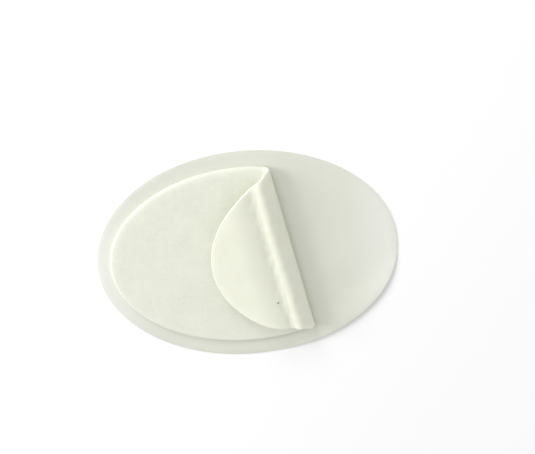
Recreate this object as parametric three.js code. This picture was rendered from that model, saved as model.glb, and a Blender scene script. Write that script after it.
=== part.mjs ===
// Oval blister pad on its release liner. One end of the soft pad is peeled off the liner and
// folded back over the pad's own face, where it lies as a half-oval flap.
// Millimetres. The liner lies on the XY plane, its long axis along X, and +Z is up.

import * as THREE from 'three';

// Pad: a die-cut oval, well rounded at its upper rim and a little at its lower one.
const PAD_LENGTH = 70;
const PAD_WIDTH = 46.6;
const PAD_THICKNESS = 1.3;
const UPPER_RIM_RADIUS = 0.75;
const LOWER_RIM_RADIUS = 0.35;

// Liner: a thin oval film that shows as a margin round the pad.
const LINER_THICKNESS = 0.2;
const LINER_MARGIN_AT_ENDS = 3.3;
const LINER_MARGIN_AT_SIDES = 4;

// Fold: where the pad leaves the liner, and which way it is folded.
const PEEL_LINE_FROM_CENTRE = 9.85;
const FOLD_TURN = 8.1;

// Fold seen along its crease: heel, rising facet, crest, falling facet, neck, arched flap.
// Angles are in degrees from the liner, and bend radii are those of the inside of each bend.
const CREST_HEIGHT = 6.1;
const FACET_SLOPE = 51;
const HEEL_INNER_RADIUS = 0.65;
const CREST_INNER_RADIUS = 0.15;
const FALLING_FACET_LENGTH = 0.2;
const NECK_INNER_RADIUS = 1.7;
const NECK_GAP = 2.4;
const ARCH_SLOPE = 17;
const ARCH_FOOT_LENGTH = 1;
const ARCH_RADIUS = 10.5;
const FLAP_END_GAP = 0.9;

// Fineness of the facets.
const STUCK_STEPS = 36;
const FLAP_STEPS = 30;
const FOLD_STEP = 0.3;
const ARCH_STEP = 0.8;
const RIM_STEPS = 4;
const LINER_EDGE_STEPS = 160;

const toRadians = THREE.MathUtils.degToRad;

// An oval, cut by chords that run along the fold: all points of a chord lie the same distance
// from the centre, measured across the fold. The chord is named by its half angle, which is 0 at
// the free end and PI at the stuck end.
function chordedOval(halfLength, halfWidth) {
  const turn = toRadians(FOLD_TURN);
  const across = halfLength * Math.cos(turn);
  const along = halfWidth * Math.sin(turn);
  const reach = Math.hypot(across, along);
  const endAngle = Math.atan2(along, across);
  const point = (halfAngle, side) => {
    const angle = endAngle + side * halfAngle;
    const x = halfLength * Math.cos(angle);
    const y = halfWidth * Math.sin(angle);
    return {
      across: x * Math.cos(turn) + y * Math.sin(turn),
      along: y * Math.cos(turn) - x * Math.sin(turn),
    };
  };
  return { reach, point };
}

// Root of a function that changes sign between low and high.
function solve(f, low, high) {
  const signAtLow = Math.sign(f(low));
  for (let i = 0; i < 60; i += 1) {
    const middle = (low + high) / 2;
    if (Math.sign(f(middle)) === signAtLow) low = middle;
    else high = middle;
  }
  return (low + high) / 2;
}

// The middle of the folded sheet past the peel line, as arcs and straights. Heights are above the
// middle of the sheet where it is still stuck, so the sheet's underside is at height 0 there, and
// the face that it folds over is one thickness above that.
function foldSection(sheetPastPeel) {
  const half = PAD_THICKNESS / 2;
  const heel = HEEL_INNER_RADIUS + half;
  const crest = CREST_INNER_RADIUS + half;
  const neck = NECK_INNER_RADIUS + half;
  const facet = toRadians(FACET_SLOPE);
  const arch = toRadians(ARCH_SLOPE);

  // The rising facet is as long as the crest's height asks.
  const crestHeight = CREST_HEIGHT - PAD_THICKNESS;
  const bendsRise = heel * (1 + Math.cos(facet)) + crest * (1 - Math.cos(facet));
  const risingLength = (crestHeight - bendsRise) / Math.sin(facet);

  // The falling facet is as steep as the drop from the crest to the neck asks.
  const neckHeight = PAD_THICKNESS + NECK_GAP;
  const dropAt = (slope) => (crest + neck) * (1 - Math.cos(slope)) + FALLING_FACET_LENGTH * Math.sin(slope);
  const fall = solve((slope) => dropAt(slope) - (crestHeight - neckHeight), 0, Math.PI / 2);

  // The arched flap tips down until its free end hangs one small gap above the face.
  const footHeight = neckHeight + neck * (1 - Math.cos(arch)) + ARCH_FOOT_LENGTH * Math.sin(arch);
  const lengthToFoot = heel * (Math.PI - facet) + risingLength + crest * (facet + fall)
    + FALLING_FACET_LENGTH + neck * (fall + arch) + ARCH_FOOT_LENGTH;
  const tipHeight = (tip) => {
    const straight = sheetPastPeel - lengthToFoot - ARCH_RADIUS * (arch + tip);
    return footHeight + ARCH_RADIUS * (Math.cos(tip) - Math.cos(arch)) - straight * Math.sin(tip);
  };
  const tip = solve((angle) => tipHeight(angle) - (PAD_THICKNESS + FLAP_END_GAP), -arch, 1);

  return [
    { length: heel * (Math.PI - facet), turn: Math.PI - facet, step: FOLD_STEP },
    { length: risingLength, turn: 0, step: risingLength },
    { length: crest * (facet + fall), turn: facet + fall, step: FOLD_STEP },
    { length: FALLING_FACET_LENGTH, turn: 0, step: FALLING_FACET_LENGTH },
    { length: neck * (fall + arch), turn: -(fall + arch), step: FOLD_STEP },
    { length: ARCH_FOOT_LENGTH, turn: 0, step: ARCH_FOOT_LENGTH },
    { length: ARCH_RADIUS * (arch + tip), turn: arch + tip, step: ARCH_STEP },
  ];
}

// Place and heading of the sheet's middle after a length of it, measured from the peel line.
function walkSection(section, length) {
  let left = Math.max(length, 0);
  let heading = 0;
  let across = 0;
  let up = 0;
  for (const piece of section) {
    const part = Math.min(left, piece.length);
    const bend = piece.turn / piece.length;
    const after = heading + bend * part;
    if (piece.turn === 0) {
      across += part * Math.cos(heading);
      up += part * Math.sin(heading);
    } else {
      across += (Math.sin(after) - Math.sin(heading)) / bend;
      up += (Math.cos(heading) - Math.cos(after)) / bend;
    }
    heading = after;
    left -= part;
  }
  return { across: across + left * Math.cos(heading), up: up + left * Math.sin(heading), heading };
}

// A point of the flat pad, moved to where the fold carries it.
function foldPoint(section, flat, height) {
  const fromPeel = flat.across - PEEL_LINE_FROM_CENTRE;
  const middle = walkSection(section, fromPeel);
  const offset = height - PAD_THICKNESS / 2;
  const across = Math.min(flat.across, PEEL_LINE_FROM_CENTRE) + middle.across - offset * Math.sin(middle.heading);
  const up = PAD_THICKNESS / 2 + middle.up + offset * Math.cos(middle.heading);
  const turn = toRadians(FOLD_TURN);
  return [
    across * Math.cos(turn) - flat.along * Math.sin(turn),
    across * Math.sin(turn) + flat.along * Math.cos(turn),
    LINER_THICKNESS + up,
  ];
}

// Half angles of the chords, from the stuck end to the free end: even steps round the oval where
// the pad is flat, and short steps through each bend.
function chordAngles(reach, section) {
  const angleAt = (across) => Math.acos(across / reach);
  const angles = [];
  const peelAngle = angleAt(PEEL_LINE_FROM_CENTRE);
  for (let i = 0; i < STUCK_STEPS; i += 1) {
    angles.push(THREE.MathUtils.lerp(Math.PI, peelAngle, i / STUCK_STEPS));
  }
  let across = PEEL_LINE_FROM_CENTRE;
  for (const piece of section) {
    const steps = Math.ceil(piece.length / piece.step);
    for (let i = 0; i < steps; i += 1) angles.push(angleAt(across + (piece.length * i) / steps));
    across += piece.length;
  }
  const flapAngle = angleAt(across);
  for (let i = 0; i <= FLAP_STEPS; i += 1) {
    angles.push(THREE.MathUtils.lerp(flapAngle, 0, i / FLAP_STEPS));
  }
  return angles;
}

// Closed skin through a stack of ovals that all have the same chords. Each oval is a loop of
// points, one at each end of the pad and two on every chord between them.
function skinOvals(loops, chordCount) {
  const positions = loops.flat(2);
  const indices = [];
  const size = 2 * (chordCount - 1);
  const at = (loop, i) => loop * size + ((i + size) % size);
  for (let loop = 0; loop + 1 < loops.length; loop += 1) {
    for (let i = 0; i < size; i += 1) {
      indices.push(at(loop, i), at(loop, i + 1), at(loop + 1, i + 1));
      indices.push(at(loop, i), at(loop + 1, i + 1), at(loop + 1, i));
    }
  }
  const top = loops.length - 1;
  for (let i = 0; i + 1 < chordCount; i += 1) {
    const near = [i, -i];
    const far = [i + 1, -i - 1];
    if (i > 0) {
      indices.push(at(0, near[0]), at(0, near[1]), at(0, far[0]));
      indices.push(at(top, near[0]), at(top, far[0]), at(top, near[1]));
    }
    if (i + 2 < chordCount) {
      indices.push(at(0, near[1]), at(0, far[1]), at(0, far[0]));
      indices.push(at(top, near[1]), at(top, far[0]), at(top, far[1]));
    }
  }
  const geometry = new THREE.BufferGeometry();
  geometry.setAttribute('position', new THREE.Float32BufferAttribute(positions, 3));
  geometry.setIndex(indices);
  geometry.computeVertexNormals();
  return geometry;
}

// Soft pad: a stack of ovals from its underside round the lower rim, up the wall and round the
// upper rim, each of them carried through the fold.
function padGeometry() {
  const outline = chordedOval(PAD_LENGTH / 2, PAD_WIDTH / 2);
  const section = foldSection(outline.reach - PEEL_LINE_FROM_CENTRE);
  const angles = chordAngles(outline.reach, section);

  const lowerRim = [];
  const upperRim = [];
  for (let i = 0; i <= RIM_STEPS; i += 1) {
    const angle = (i / RIM_STEPS) * (Math.PI / 2);
    lowerRim.push({
      inset: LOWER_RIM_RADIUS * (1 - Math.sin(angle)),
      height: LOWER_RIM_RADIUS * (1 - Math.cos(angle)),
    });
    upperRim.push({
      inset: UPPER_RIM_RADIUS * (1 - Math.cos(angle)),
      height: PAD_THICKNESS - UPPER_RIM_RADIUS * (1 - Math.sin(angle)),
    });
  }

  const loops = [...lowerRim, ...upperRim].map(({ inset, height }) => {
    const oval = chordedOval(PAD_LENGTH / 2 - inset, PAD_WIDTH / 2 - inset);
    const oneSide = angles.map((angle) => foldPoint(section, oval.point(angle, -1), height));
    const otherSide = angles.slice(1, -1).map((angle) => foldPoint(section, oval.point(angle, 1), height));
    return [...oneSide, ...otherSide.reverse()];
  });
  return skinOvals(loops, angles.length);
}

function ovalShape(halfLength, halfWidth) {
  const shape = new THREE.Shape();
  shape.absellipse(0, 0, halfLength, halfWidth, 0, Math.PI * 2, false);
  return shape;
}

// Release liner: the oval film, one thin extrusion.
function linerGeometry() {
  const shape = ovalShape(PAD_LENGTH / 2 + LINER_MARGIN_AT_ENDS, PAD_WIDTH / 2 + LINER_MARGIN_AT_SIDES);
  return new THREE.ExtrudeGeometry(shape, {
    depth: LINER_THICKNESS,
    bevelEnabled: false,
    curveSegments: LINER_EDGE_STEPS,
  });
}

const padMaterial = new THREE.MeshStandardMaterial({ color: '#e9ebd9', roughness: 0.75, metalness: 0 });
const linerMaterial = new THREE.MeshStandardMaterial({ color: '#e4e7dd', roughness: 0.45, metalness: 0 });

const releaseLiner = new THREE.Mesh(linerGeometry(), linerMaterial);
releaseLiner.name = 'release_liner';

const pad = new THREE.Mesh(padGeometry(), padMaterial);
pad.name = 'pad';

const blisterPad = new THREE.Group();
blisterPad.add(releaseLiner, pad);

export default blisterPad;
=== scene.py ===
# %% [markdown]
# # A blister pad, half peeled off its liner
#
# The object has two pieces. A thin oval film, the release liner, carries a soft oval gel pad.
# One end of the pad has been peeled off the film and folded back over the pad's own face.
#
# The measured model comes in as a fixed frame. It says where each piece is and how big it is.
# This file dresses that frame: it models both pieces finely, gives them their finishes, and sets
# up light, floor and camera. Everything is in metres, and +Z is up.

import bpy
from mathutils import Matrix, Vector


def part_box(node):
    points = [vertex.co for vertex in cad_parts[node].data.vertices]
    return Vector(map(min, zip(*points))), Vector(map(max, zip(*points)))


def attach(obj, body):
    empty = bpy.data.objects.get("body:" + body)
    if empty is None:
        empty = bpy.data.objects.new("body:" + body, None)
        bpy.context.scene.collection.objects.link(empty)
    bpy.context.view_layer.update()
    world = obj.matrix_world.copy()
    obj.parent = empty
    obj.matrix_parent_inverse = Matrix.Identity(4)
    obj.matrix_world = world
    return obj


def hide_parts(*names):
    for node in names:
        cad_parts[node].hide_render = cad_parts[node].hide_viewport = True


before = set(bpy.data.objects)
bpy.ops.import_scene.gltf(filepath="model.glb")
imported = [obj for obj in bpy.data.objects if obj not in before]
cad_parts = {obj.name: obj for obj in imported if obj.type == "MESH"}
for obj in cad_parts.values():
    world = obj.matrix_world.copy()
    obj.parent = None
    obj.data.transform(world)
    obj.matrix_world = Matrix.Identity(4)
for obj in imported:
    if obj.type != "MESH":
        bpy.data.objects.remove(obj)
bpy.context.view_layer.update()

# %% Libraries
import math

import bmesh
import bpy
from mathutils import Matrix, Vector, noise

MM = 0.001
SAME_PLACE = 1e-7

# %% [markdown]
# ## Sizes
#
# What the frame can tell is read from it. The pad is centred on the origin and its stuck end and
# both long sides lie flat, so its box gives its flat length and width. Its thickness, the radii
# of its edges and the sizes of the fold are named here.

# %% Sizes from the frame
pad_low, pad_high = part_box("pad")
liner_low, liner_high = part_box("release_liner")

PAD_HALF_LENGTH = -pad_low.x
PAD_HALF_WIDTH = (pad_high.y - pad_low.y) / 2
CREST_TOP = pad_high.z - liner_high.z
LINER_HALF_LENGTH = (liner_high.x - liner_low.x) / 2
LINER_HALF_WIDTH = (liner_high.y - liner_low.y) / 2
LINER_THICKNESS = liner_high.z - liner_low.z
print("pad", PAD_HALF_LENGTH, PAD_HALF_WIDTH, "liner", LINER_HALF_LENGTH, LINER_HALF_WIDTH)

# %% Sizes of the pad's edge and of the fold
PAD_THICKNESS = 1.3 * MM
UPPER_RIM = 0.75 * MM
LOWER_RIM = 0.35 * MM

PEEL_LINE = 9.85 * MM
FOLD_TURN = math.radians(8.1)
FACET_SLOPE = math.radians(51)
HEEL_RADIUS = 0.65 * MM + PAD_THICKNESS / 2
CREST_RADIUS = 0.15 * MM + PAD_THICKNESS / 2
NECK_RADIUS = 1.7 * MM + PAD_THICKNESS / 2
FALLING_FACET = 0.2 * MM
NECK_GAP = 2.4 * MM
ARCH_SLOPE = math.radians(17)
ARCH_FOOT = 1 * MM
ARCH_RADIUS = 10.5 * MM
FLAP_END_GAP = 0.9 * MM

# %% [markdown]
# ## How the sheet folds
#
# Seen along its crease, the folded sheet is a chain of arcs and straights: the heel where it
# leaves the liner, a facet that rises back over the pad, the crest, a facet that falls, the neck,
# and the flap, which arches over and comes down to rest by its free end.
#
# A sheet that is folded keeps its length. So each point of the flat pad is carried along the
# chain by its distance past the peel line, and nothing is stretched.

# %% The section of the fold
def solve(function, low, high):
    """Root of a function that changes sign between low and high."""
    sign = function(low) > 0
    for _ in range(50):
        middle = (low + high) / 2
        if (function(middle) > 0) == sign:
            low = middle
        else:
            high = middle
    return (low + high) / 2


def smooth(value, start, end):
    """0 before start, 1 after end, and an easy ramp between."""
    share = min(max((value - start) / (end - start), 0.0), 1.0)
    return share * share * (3 - 2 * share)


def band(value, rise, fall):
    """1 between two easy ramps, and 0 outside them."""
    return smooth(value, *rise) * (1 - smooth(value, *fall))


def fold_section(past_peel, crest_top, facet, neck_gap):
    """Length and turn of each arc and straight, from the peel line to the free end."""
    rise = crest_top - PAD_THICKNESS
    bends = HEEL_RADIUS * (1 + math.cos(facet)) + CREST_RADIUS * (1 - math.cos(facet))
    rising = (rise - bends) / math.sin(facet)
    neck_height = PAD_THICKNESS + neck_gap

    def left_over(slope):
        bend_drop = (CREST_RADIUS + NECK_RADIUS) * (1 - math.cos(slope))
        return bend_drop + FALLING_FACET * math.sin(slope) - (rise - neck_height)

    fall = solve(left_over, 0, math.pi / 2)
    chain = [
        (HEEL_RADIUS * (math.pi - facet), math.pi - facet),
        (rising, 0.0),
        (CREST_RADIUS * (facet + fall), facet + fall),
        (FALLING_FACET, 0.0),
        (NECK_RADIUS * (fall + ARCH_SLOPE), -fall - ARCH_SLOPE),
        (ARCH_FOOT, 0.0),
    ]
    foot = neck_height + NECK_RADIUS * (1 - math.cos(ARCH_SLOPE)) + ARCH_FOOT * math.sin(ARCH_SLOPE)
    spare = past_peel - sum(length for length, _ in chain)

    def end_height(tip):
        arch_rise = ARCH_RADIUS * (math.cos(tip) - math.cos(ARCH_SLOPE))
        straight = spare - ARCH_RADIUS * (ARCH_SLOPE + tip)
        return foot + arch_rise - straight * math.sin(tip) - PAD_THICKNESS - FLAP_END_GAP

    tip = solve(end_height, -ARCH_SLOPE, 1.0)
    chain.append((ARCH_RADIUS * (ARCH_SLOPE + tip), ARCH_SLOPE + tip))
    return chain


def walk(section, length):
    """Place across and up, and heading, after a length past the peel line."""
    heading = across = up = 0.0
    left = max(length, 0.0)
    for piece_length, turn in section:
        part = min(left, piece_length)
        after = heading + turn * part / piece_length
        if turn == 0.0:
            across += part * math.cos(heading)
            up += part * math.sin(heading)
        else:
            radius = piece_length / turn
            across += radius * (math.sin(after) - math.sin(heading))
            up += radius * (math.cos(heading) - math.cos(after))
        heading = after
        left -= part
    return across + left * math.cos(heading), up + left * math.sin(heading), heading


# %% [markdown]
# A hand-made fold is not the same all along its crease. Towards its lower end the facet is a
# little steeper and the neck shallower, and towards its upper end the crest sinks a little. So the
# section is worked out at stations along the crease, and every point blends the two beside it.
# LOWER_END and UPPER_END say how far from the crease's middle each end's change starts and is full.

# %% Sections along the crease
STATION_STEP = 2 * MM
STATIONS = 27
LOWER_END = (6 * MM, 21 * MM)
UPPER_END = (12 * MM, 22 * MM)
LOWER_FACET_STEEPER = math.radians(3)
LOWER_NECK_SHALLOWER = 0.25 * MM
UPPER_NECK_DEEPER = 0.1 * MM
UPPER_CREST_SINK = 0.25 * MM
SWELL_ROOM = 0.05 * MM
FIRST_STATION = -(STATIONS // 2) * STATION_STEP
REACH = math.hypot(PAD_HALF_LENGTH * math.cos(FOLD_TURN), PAD_HALF_WIDTH * math.sin(FOLD_TURN))


def section_at(along):
    """The fold's section at this distance along the crease, up from its middle."""
    lower_end = smooth(-along, *LOWER_END)
    upper_end = smooth(along, *UPPER_END)
    facet = FACET_SLOPE + LOWER_FACET_STEEPER * lower_end
    crest_top = CREST_TOP - SWELL_ROOM - UPPER_CREST_SINK * upper_end
    neck_gap = NECK_GAP + LOWER_NECK_SHALLOWER * lower_end - UPPER_NECK_DEEPER * upper_end
    return fold_section(REACH - PEEL_LINE, crest_top, facet, neck_gap)


sections = [section_at(FIRST_STATION + STATION_STEP * i) for i in range(STATIONS)]
chain_length = sum(length for length, _ in sections[STATIONS // 2])
print("fold chain in mm:", round(chain_length / MM, 2), "of", round((REACH - PEEL_LINE) / MM, 2))

# %% [markdown]
# A sheet that is bent sharply also draws in a little at its edges, on the outside of the bend
# more than on the inside. So near the rim each point is moved inwards along the crease, at the
# heel and, more strongly, at the lower end of the crest. This rounds the two tips of the fold.

# %% Carry a flat point through the fold
HEEL_PINCH = 0.25 * MM
LOWER_CREST_PINCH = 0.75 * MM
UPPER_CREST_PINCH = 0.25 * MM
PINCH_FROM = 0.84
HEEL_STRETCH = ((-2 * MM, 1.5 * MM), (2 * MM, 4 * MM))
CREST_STRETCH = ((3 * MM, 6.5 * MM), (7 * MM, 12 * MM))
FACE_PINCH = 0.5
across_way = Vector((math.cos(FOLD_TURN), math.sin(FOLD_TURN), 0))
along_way = Vector((-math.sin(FOLD_TURN), math.cos(FOLD_TURN), 0))


def oval_share(point):
    """0 at the pad's middle and 1 on its outline."""
    return math.hypot(point.x / PAD_HALF_LENGTH, point.y / PAD_HALF_WIDTH)


def pinch(point, past_peel, along):
    """How far a point near the rim is drawn in along the crease, by the bends it lies in."""
    crest_pinch = LOWER_CREST_PINCH if along < 0 else UPPER_CREST_PINCH
    rim = smooth(oval_share(point), PINCH_FROM, 1.0)
    heel = band(past_peel, *HEEL_STRETCH)
    crest = band(past_peel, *CREST_STRETCH)
    outer = 1 - FACE_PINCH * smooth(point.z, 0, PAD_THICKNESS)
    return rim * (HEEL_PINCH * heel + crest_pinch * crest * outer)


def folded(point):
    """The folded place of a point of the flat pad, whose underside lies at height 0."""
    across = point.dot(across_way)
    along = point.dot(along_way)
    along -= math.copysign(pinch(point, across - PEEL_LINE, along), along)
    station = (along - FIRST_STATION) / STATION_STEP
    first = min(max(int(station), 0), STATIONS - 2)
    share = station - first
    before = walk(sections[first], across - PEEL_LINE)
    after = walk(sections[first + 1], across - PEEL_LINE)
    forward, up, heading = (a + (b - a) * share for a, b in zip(before, after))
    offset = point.z - PAD_THICKNESS / 2
    out = min(across, PEEL_LINE) + forward - offset * math.sin(heading)
    height = LINER_THICKNESS + PAD_THICKNESS / 2 + up + offset * math.cos(heading)
    return across_way * out + along_way * along + Vector((0, 0, height))


# %% [markdown]
# ## The pad
#
# The real pad is punched from a sheet of gel between two skins, and the punch presses its edge
# round. It starts here the same way: a flat oval is extruded to the pad's thickness, and both
# rims are bevelled. Then it is cut by planes, so that it has vertices wherever the fold bends it:
# close cuts across the fold, wider ones elsewhere. The cuts run along the crease, because a sheet
# that rolls about one direction stays straight in the other.

# %% Flat pad
RIM_POINTS = 260


def edges_at(mesh, height):
    """The edges that lie whole at one height."""
    return [e for e in mesh.edges if all(abs(v.co.z - height) < SAME_PLACE for v in e.verts)]


def flat_oval(half_length, half_width, thickness, upper_rim, lower_rim, rim_segments):
    """A slab with an oval outline and rounded rims, its underside at height 0."""
    mesh = bmesh.new()
    bmesh.ops.create_circle(mesh, cap_ends=True, segments=RIM_POINTS, radius=1.0)
    bmesh.ops.scale(mesh, vec=(half_length, half_width, 1.0), verts=mesh.verts)
    raised = bmesh.ops.extrude_face_region(mesh, geom=mesh.faces[:])
    top = [item for item in raised["geom"] if isinstance(item, bmesh.types.BMVert)]
    bmesh.ops.translate(mesh, vec=(0, 0, thickness), verts=top)
    bmesh.ops.recalc_face_normals(mesh, faces=mesh.faces)
    for height, radius in ((thickness, upper_rim), (0.0, lower_rim)):
        bmesh.ops.bevel(
            mesh, geom=edges_at(mesh, height), offset=radius, offset_type="OFFSET",
            affect="EDGES", segments=rim_segments, profile=0.5, material=-1, clamp_overlap=False,
        )
    return mesh


def cut(mesh, places, way):
    """Cuts the whole mesh by planes at these distances from the origin along way."""
    for place in places:
        bmesh.ops.bisect_plane(
            mesh, geom=mesh.verts[:] + mesh.edges[:] + mesh.faces[:], dist=SAME_PLACE,
            plane_co=way * place, plane_no=way,
        )


pad_mesh = flat_oval(PAD_HALF_LENGTH, PAD_HALF_WIDTH, PAD_THICKNESS, UPPER_RIM, LOWER_RIM, 6)
print("flat pad:", len(pad_mesh.faces), "faces")

# %% Cuts that let it bend
WIDE_CUT = 0.9 * MM
FLAP_CUT = 0.6 * MM
CLOSE_CUT = 0.22 * MM
ACROSS_CUT = 0.8 * MM
CUT_MARGIN = 1 * MM


def steps(start, end, step):
    """Even places from start up to, but not at, end."""
    count = max(1, round((end - start) / step))
    return [start + (end - start) * i / count for i in range(count)]


arch_start = PEEL_LINE + sum(length for length, _ in sections[STATIONS // 2][:-1])
cuts = steps(-REACH, PEEL_LINE - CUT_MARGIN, WIDE_CUT)
cuts += steps(PEEL_LINE - CUT_MARGIN, arch_start + CUT_MARGIN, CLOSE_CUT)
cuts += steps(arch_start + CUT_MARGIN, REACH, FLAP_CUT)
cut(pad_mesh, cuts[1:], across_way)
cut(pad_mesh, steps(-PAD_HALF_WIDTH, PAD_HALF_WIDTH, ACROSS_CUT)[1:], along_way)
print("cut pad:", len(pad_mesh.faces), "faces")

# %% [markdown]
# Gel is never quite even. Before it is folded, the smooth adhesive side gets low swells a few
# millimetres across, and close to the crest smaller ones, which break up its shine as on the real
# pad. Even the ones on the crest are no deeper than two sheets of paper are thick.
#
# A punched pad is also a little thinner and paler at its rim. How near the rim a point lies is kept
# on each vertex, thins the pad there, and later makes its colour paler. That paleness is partly the
# thinner gel and partly a painted highlight on the rounded rim.

# %% Unevenness and fold
EDGE_REACH = 2.4 * MM
EDGE_THINNING = 0.1
UNDERSIDE_DEPTH = 0.4 * MM
WIDE_SWELL = (5 * MM, 0.06 * MM)
CREST_SWELL = (1.7 * MM, 0.2 * MM)
CREST_SWELL_STRETCH = ((3 * MM, 6 * MM), (9 * MM, 13 * MM))


def swell(point, size, height):
    """A smooth random height, the same on each run, with bumps of the given size."""
    return height * noise.noise(point / size)


def nearness(point):
    """1 at the pad's rim, easing to 0 at EDGE_REACH inside it."""
    share = oval_share(point)
    inside = (1 - share) * math.hypot(point.x, point.y) / max(share, 1e-6)
    return 1 - smooth(inside, 0.0, EDGE_REACH)


def settle(mesh):
    """Thins the pad's edge, swells its peeled underside, and folds it."""
    edge = mesh.verts.layers.float.new("edge")
    for vertex in mesh.verts:
        flat = vertex.co.copy()
        vertex[edge] = nearness(flat)
        flat.z *= 1 - EDGE_THINNING * vertex[edge]
        past_peel = flat.dot(across_way) - PEEL_LINE
        near_crest = band(past_peel, *CREST_SWELL_STRETCH)
        height = swell(flat, *WIDE_SWELL) + swell(flat, *CREST_SWELL) * near_crest
        underside = 0.0 if past_peel < 0 else 1 - smooth(flat.z, 0.0, UNDERSIDE_DEPTH)
        vertex.co = folded(flat - Vector((0, 0, height * underside)))


# The faces of the underside get the second material, and are found while the pad is flat.
for face in pad_mesh.faces:
    face.material_index = int(face.calc_center_median().z < LOWER_RIM)

settle(pad_mesh)
bmesh.ops.recalc_face_normals(pad_mesh, faces=pad_mesh.faces)

# %% From mesh to piece
def make_piece(name, mesh, materials):
    """A smooth-shaded object from a bmesh, at the origin, with its place in its mesh."""
    data = bpy.data.meshes.new(name)
    mesh.to_mesh(data)
    mesh.free()
    for polygon in data.polygons:
        polygon.use_smooth = True
    for material in materials:
        data.materials.append(material)
    piece = bpy.data.objects.new(name, data)
    bpy.context.scene.collection.objects.link(piece)
    return piece


# %% [markdown]
# ## Finishes
#
# Colours are picked as they look on a screen, so they are sRGB, and Blender computes with linear
# light. One function turns the first into the second. A second one adds a shader node with its
# settings and links, and that is all the help that the materials need.

# %% Helpers for materials
def linear(hex_colour):
    """Linear RGBA of an sRGB colour such as e6e9d8."""
    values = [int(hex_colour[i:i + 2], 16) / 255 for i in (0, 2, 4)]
    return [v / 12.92 if v <= 0.04045 else ((v + 0.055) / 1.055) ** 2.4 for v in values] + [1.0]


def add_node(material, kind, settings=None, links=None):
    """A node with its settings, by attribute or by socket, and what each socket is fed from."""
    tree = material.node_tree
    node = tree.nodes.new(kind)
    for name, value in (settings or {}).items():
        if isinstance(name, str) and hasattr(node, name):
            setattr(node, name, value)
        else:
            node.inputs[name].default_value = value
    for name, source in (links or {}).items():
        tree.links.new(source, node.inputs[name])
    return node


def new_material(name):
    material = bpy.data.materials.new(name)
    material.use_nodes = True
    material.node_tree.nodes.clear()
    return material


# %% [markdown]
# ### Gel pad: matt, fine-grained face
#
# The pad's face is a thin polyurethane film over the gel, embossed so that it does not shine.
# Its grain is about 0.4 mm, and faint clouds from 1 to 6 mm lie over it. Under it the gel is
# cream and lets a little light in, which softens the shade in the fold and round the rims.

# %% Face of the pad
GRAIN = 0.42 * MM
CLOUD = 6 * MM
EDGE_PALER_AND_HIGHLIGHT = 0.4
GEL = {
    "IOR": 1.45, "Subsurface Weight": 0.25, "Subsurface Scale": 0.9 * MM,
    "Subsurface Radius": (1.0, 0.95, 0.7),
}


def paler_edge_and_painted_highlight(material, colour):
    """The colour, turning paler towards the rim, partly for the thinner gel and partly as a painted
    highlight.
    """
    edge = add_node(material, "ShaderNodeAttribute", {"attribute_name": "edge"})
    share = add_node(
        material, "ShaderNodeMath", {"operation": "MULTIPLY", 1: EDGE_PALER_AND_HIGHLIGHT},
        {0: edge.outputs["Fac"]},
    )
    # Painted highlight: a paler colour is mixed in near the rim. It is partly the thinner gel, and
    # partly stands in for light on the rounded rim.
    paler = add_node(
        material, "ShaderNodeMix", {"data_type": "RGBA", 7: linear("f6f7ea")},
        {0: share.outputs["Value"], 6: colour},
    )
    return paler.outputs[2]


def pad_face():
    material = new_material("embossed polyurethane film on gel")
    place = add_node(material, "ShaderNodeTexCoord").outputs["Object"]
    grain = add_node(
        material, "ShaderNodeTexNoise", {"Scale": 1 / GRAIN, "Detail": 3.0, "Roughness": 0.6},
        {"Vector": place},
    )
    cloud = add_node(
        material, "ShaderNodeTexNoise", {"Scale": 1 / CLOUD, "Detail": 4.0, "Roughness": 0.75},
        {"Vector": place},
    )
    mottled = add_node(
        material, "ShaderNodeMix", {"data_type": "RGBA", 6: linear("ced1c1"), 7: linear("f0f2e5")},
        {0: grain.outputs["Fac"]},
    )
    toned = add_node(
        material, "ShaderNodeMix", {"data_type": "RGBA", 7: linear("f3f4e6")},
        {0: cloud.outputs["Fac"], 6: mottled.outputs[2]},
    )
    bump = add_node(
        material, "ShaderNodeBump", {"Strength": 0.5, "Distance": 0.06 * MM},
        {"Height": grain.outputs["Fac"]},
    )
    shader = add_node(
        material, "ShaderNodeBsdfPrincipled", {"Roughness": 0.72, **GEL},
        {"Base Color": paler_edge_and_painted_highlight(material, toned.outputs[2]), "Normal": bump.outputs["Normal"]},
    )
    add_node(material, "ShaderNodeOutputMaterial", links={"Surface": shader.outputs["BSDF"]})
    return material


# %% [markdown]
# ### Gel pad: satin adhesive side
#
# The underside is bare adhesive gel that was pressed against the smooth film, so it has a soft,
# slightly uneven gloss. A few shallow ripples a millimetre or two across break its highlights.
# One tiny dark speck is stuck to it, near the lower end of the flap.

# %% Adhesive side of the pad
RIPPLE = 1.6 * MM
SPECK_PLACE = (6.5 * MM, -12.07 * MM, 5.68 * MM)
SPECK_RADIUS = 0.24 * MM


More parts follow.
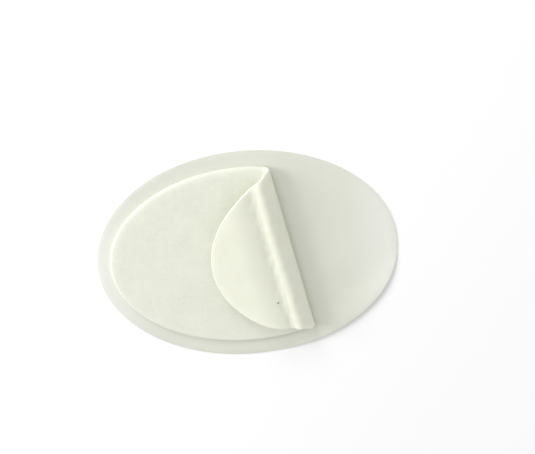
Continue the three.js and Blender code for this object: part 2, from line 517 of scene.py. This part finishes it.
def pad_adhesive():
    material = new_material("satin adhesive gel")
    place = add_node(material, "ShaderNodeTexCoord").outputs["Object"]
    ripple = add_node(
        material, "ShaderNodeTexNoise", {"Scale": 1 / RIPPLE, "Detail": 2.0}, {"Vector": place},
    )
    cloud = add_node(
        material, "ShaderNodeTexNoise", {"Scale": 1 / CLOUD, "Detail": 2.0}, {"Vector": place},
    )
    toned = add_node(
        material, "ShaderNodeMix", {"data_type": "RGBA", 6: linear("e8eada"), 7: linear("f0f1e0")},
        {0: cloud.outputs["Fac"]},
    )
    away = add_node(
        material, "ShaderNodeVectorMath", {"operation": "DISTANCE", 1: SPECK_PLACE}, {0: place},
    )
    speck = add_node(
        material, "ShaderNodeMapRange",
        {"interpolation_type": "SMOOTHSTEP", "From Min": 0.6 * SPECK_RADIUS,
         "From Max": 1.4 * SPECK_RADIUS},
        {"Value": away.outputs["Value"]},
    )
    speckled = add_node(
        material, "ShaderNodeMix", {"data_type": "RGBA", 6: linear("8c8a74")},
        {0: speck.outputs["Result"], 7: toned.outputs[2]},
    )
    gloss = add_node(
        material, "ShaderNodeMapRange", {"To Min": 0.3, "To Max": 0.42},
        {"Value": ripple.outputs["Fac"]},
    )
    bump = add_node(
        material, "ShaderNodeBump", {"Strength": 0.3, "Distance": 0.1 * MM},
        {"Height": ripple.outputs["Fac"]},
    )
    shader = add_node(
        material, "ShaderNodeBsdfPrincipled", GEL,
        {"Base Color": paler_edge_and_painted_highlight(material, speckled.outputs[2]),
         "Roughness": gloss.outputs["Result"], "Normal": bump.outputs["Normal"]},
    )
    add_node(material, "ShaderNodeOutputMaterial", links={"Surface": shader.outputs["BSDF"]})
    return material


# %% [markdown]
# ### Release liner: milky film
#
# The liner is a siliconised plastic film. It is milky because it is slightly cloudy inside, it
# has a faint sheen, and being so thin it is never perfectly even. Its two ends are painted paler.
# This is painted light, standing in for light that reaches the white table under them and comes
# back through the film.

# %% Film
FILM_CLOUD = 14 * MM
PAINTED_LIGHT_FROM = 0.62


def liner_film():
    material = new_material("milky siliconised film")
    place = add_node(material, "ShaderNodeTexCoord").outputs["Object"]
    cloud = add_node(
        material, "ShaderNodeTexNoise", {"Scale": 1 / FILM_CLOUD, "Detail": 3.0}, {"Vector": place},
    )
    clouded = add_node(
        material, "ShaderNodeMix", {"data_type": "RGBA", 6: linear("dee0d3"), 7: linear("e6e8dc")},
        {0: cloud.outputs["Fac"]},
    )
    parts = add_node(material, "ShaderNodeSeparateXYZ", links={"Vector": place})
    from_middle = add_node(
        material, "ShaderNodeMath", {"operation": "ABSOLUTE"}, {0: parts.outputs["X"]},
    )
    # Painted light: the film's colour turns paler towards both ends. It stands in for light that
    # comes back through the film from the table.
    painted_light_at_ends = add_node(
        material, "ShaderNodeMapRange",
        {"interpolation_type": "SMOOTHSTEP", "From Min": PAINTED_LIGHT_FROM * LINER_HALF_LENGTH,
         "From Max": LINER_HALF_LENGTH, "To Max": 0.9},
        {"Value": from_middle.outputs["Value"]},
    )
    toned = add_node(
        material, "ShaderNodeMix", {"data_type": "RGBA", 7: linear("eff0e8")},
        {0: painted_light_at_ends.outputs["Result"], 6: clouded.outputs[2]},
    )
    bump = add_node(
        material, "ShaderNodeBump", {"Strength": 0.1, "Distance": 0.2 * MM},
        {"Height": cloud.outputs["Fac"]},
    )
    shader = add_node(
        material, "ShaderNodeBsdfPrincipled", {"Roughness": 0.42, "IOR": 1.5},
        {"Base Color": toned.outputs[2], "Normal": bump.outputs["Normal"]},
    )
    add_node(material, "ShaderNodeOutputMaterial", links={"Surface": shader.outputs["BSDF"]})
    return material


# %% [markdown]
# The pad wears both finishes, its face the matt one and its underside the satin one, and stands
# for the measured model's plain pad. Its body is soft.

# %% Dress the pad
pad_piece = make_piece("gel_pad", pad_mesh, [pad_face(), pad_adhesive()])
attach(pad_piece, "root")
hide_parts("pad")

# %% [markdown]
# The liner is the same flat oval with a fine bevel on its rims. The film has a slight curl: where
# no pad holds it down, beside the lower end of the fold, its edge stands clear of the table by
# less than a millimetre. The shadow under that edge shows it in the photo.

# %% Liner
LINER_LIFT = 0.7 * MM
LIFT_START = 24 * MM
LIFT_END = 31.4 * MM
LIFT_TURN = math.radians(-55)
LINER_BEVEL = 0.06 * MM
LINER_CUT = 2 * MM
lift_way = Vector((math.cos(LIFT_TURN), math.sin(LIFT_TURN), 0))

liner_mesh = flat_oval(
    LINER_HALF_LENGTH, LINER_HALF_WIDTH, LINER_THICKNESS, LINER_BEVEL, LINER_BEVEL, 2)
cut(liner_mesh, steps(-LINER_HALF_LENGTH, LINER_HALF_LENGTH, LINER_CUT)[1:], Vector((1, 0, 0)))
cut(liner_mesh, steps(-LINER_HALF_WIDTH, LINER_HALF_WIDTH, LINER_CUT)[1:], Vector((0, 1, 0)))
for vertex in liner_mesh.verts:
    vertex.co.z += LINER_LIFT * smooth(vertex.co.dot(lift_way), LIFT_START, LIFT_END)
print("liner:", len(liner_mesh.faces), "faces")
liner_piece = make_piece("liner_film", liner_mesh, [liner_film()])
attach(liner_piece, "root")
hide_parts("release_liner")

# %% [markdown]
# ## Floor, light and camera
#
# The photo is taken on white. The floor is white paper, which takes the object's soft shadow. A
# very small glow, seen by the camera and in reflections, brings it to pure white everywhere else.

# %% Floor
FLOOR_SIDE = 4.0
FLOOR_LIFT = 0.04


def floor_white():
    """White paper. Light bounces off it as off real paper, and it is seen as pure white."""
    material = new_material("white paper floor")
    rays = add_node(material, "ShaderNodeLightPath")
    seen = rays.outputs["Is Camera Ray"]
    for kind in ("Is Glossy Ray", "Is Transmission Ray"):
        either = add_node(
            material, "ShaderNodeMath", {"operation": "MAXIMUM"}, {0: seen, 1: rays.outputs[kind]},
        )
        seen = either.outputs["Value"]
    colour = add_node(
        material, "ShaderNodeMix", {"data_type": "RGBA", 6: linear("e6e6e6"), 7: linear("ffffff")},
        {0: seen},
    )
    paper = add_node(material, "ShaderNodeBsdfDiffuse", links={"Color": colour.outputs[2]})
    lift = add_node(
        material, "ShaderNodeMath", {"operation": "MULTIPLY", 1: FLOOR_LIFT}, {0: seen},
    )
    glow = add_node(material, "ShaderNodeEmission", links={"Strength": lift.outputs["Value"]})
    shader = add_node(
        material, "ShaderNodeAddShader",
        links={0: paper.outputs["BSDF"], 1: glow.outputs["Emission"]},
    )
    add_node(material, "ShaderNodeOutputMaterial", links={"Surface": shader.outputs["Shader"]})
    return material


floor_mesh = bmesh.new()
bmesh.ops.create_grid(floor_mesh, x_segments=1, y_segments=1, size=FLOOR_SIDE / 2)
floor = make_piece("floor", floor_mesh, [floor_white()])

# %% [markdown]
# Most of the light is even and comes from all round. A soft low light from the left draws the
# rims, the crest and the shade behind the fold, a weaker one from the top draws the upper rim, and
# a very faint one from the right lights the facet. The shares add up to about 1 on a level
# surface, so a colour looks there as it is written.

# %% World
WORLD_STRENGTH = 0.63
world = bpy.data.worlds.new("studio")
bpy.context.scene.world = world
world.use_nodes = True
background = world.node_tree.nodes["Background"]
background.inputs["Color"].default_value = (1, 1, 1, 1)
background.inputs["Strength"].default_value = WORLD_STRENGTH

# %% Lights
LIGHT_DISTANCE = 0.9


def soft_light(name, share, azimuth, elevation, side):
    """A square light that adds this share of full white to a level surface at the origin."""
    way = Vector((
        math.cos(math.radians(azimuth)) * math.cos(math.radians(elevation)),
        math.sin(math.radians(azimuth)) * math.cos(math.radians(elevation)),
        math.sin(math.radians(elevation)),
    ))
    light = bpy.data.lights.new(name, "AREA")
    light.size = side
    light.energy = share / way.z * math.pi ** 2 * LIGHT_DISTANCE ** 2
    light_object = bpy.data.objects.new(name, light)
    light_object.location = way * LIGHT_DISTANCE
    light_object.rotation_euler = way.to_track_quat("Z", "Y").to_euler()
    bpy.context.scene.collection.objects.link(light_object)


soft_light("key", share=0.23, azimuth=160, elevation=28, side=0.4)
soft_light("top", share=0.13, azimuth=108, elevation=30, side=0.4)
soft_light("right", share=0.012, azimuth=-8, elevation=12, side=0.4)

# %% [markdown]
# The camera looks down on the object from above and a little from the top edge. Its tilt comes
# from how much flatter the oval looks than it is, and its roll from the slope of the long axis.

# %% Camera
IMAGE_WIDTH = 535
IMAGE_HEIGHT = 454
PIXELS_PER_MM = 3.943
LINER_CENTRE_X = 246.9
LINER_CENTRE_Y = 253.7
CAMERA_DISTANCE = 0.503
CAMERA_TILT_UP = math.radians(19)
CAMERA_TILT_RIGHT = math.radians(3.9)
CAMERA_ROLL = math.radians(8)

back = Vector((
    math.sin(CAMERA_TILT_RIGHT),
    math.sin(CAMERA_TILT_UP) * math.cos(CAMERA_TILT_RIGHT),
    math.cos(CAMERA_TILT_UP) * math.cos(CAMERA_TILT_RIGHT),
))
level_right = Vector((0, 1, 0)).cross(back).normalized()
level_up = back.cross(level_right)
right = level_right * math.cos(CAMERA_ROLL) - level_up * math.sin(CAMERA_ROLL)
up = level_right * math.sin(CAMERA_ROLL) + level_up * math.cos(CAMERA_ROLL)

camera = bpy.data.cameras.new("camera")
camera.sensor_width = 36
camera.lens = camera.sensor_width * CAMERA_DISTANCE / (IMAGE_WIDTH / PIXELS_PER_MM * MM)
camera_object = bpy.data.objects.new("camera", camera)
place = back * CAMERA_DISTANCE
place += right * ((IMAGE_WIDTH / 2 - LINER_CENTRE_X) / PIXELS_PER_MM * MM)
place += up * ((LINER_CENTRE_Y - IMAGE_HEIGHT / 2) / PIXELS_PER_MM * MM)
camera_object.matrix_world = Matrix((
    (right.x, up.x, back.x, place.x),
    (right.y, up.y, back.y, place.y),
    (right.z, up.z, back.z, place.z),
    (0, 0, 0, 1),
))
bpy.context.scene.collection.objects.link(camera_object)
bpy.context.scene.camera = camera_object
bpy.context.scene.view_settings.view_transform = "Standard"
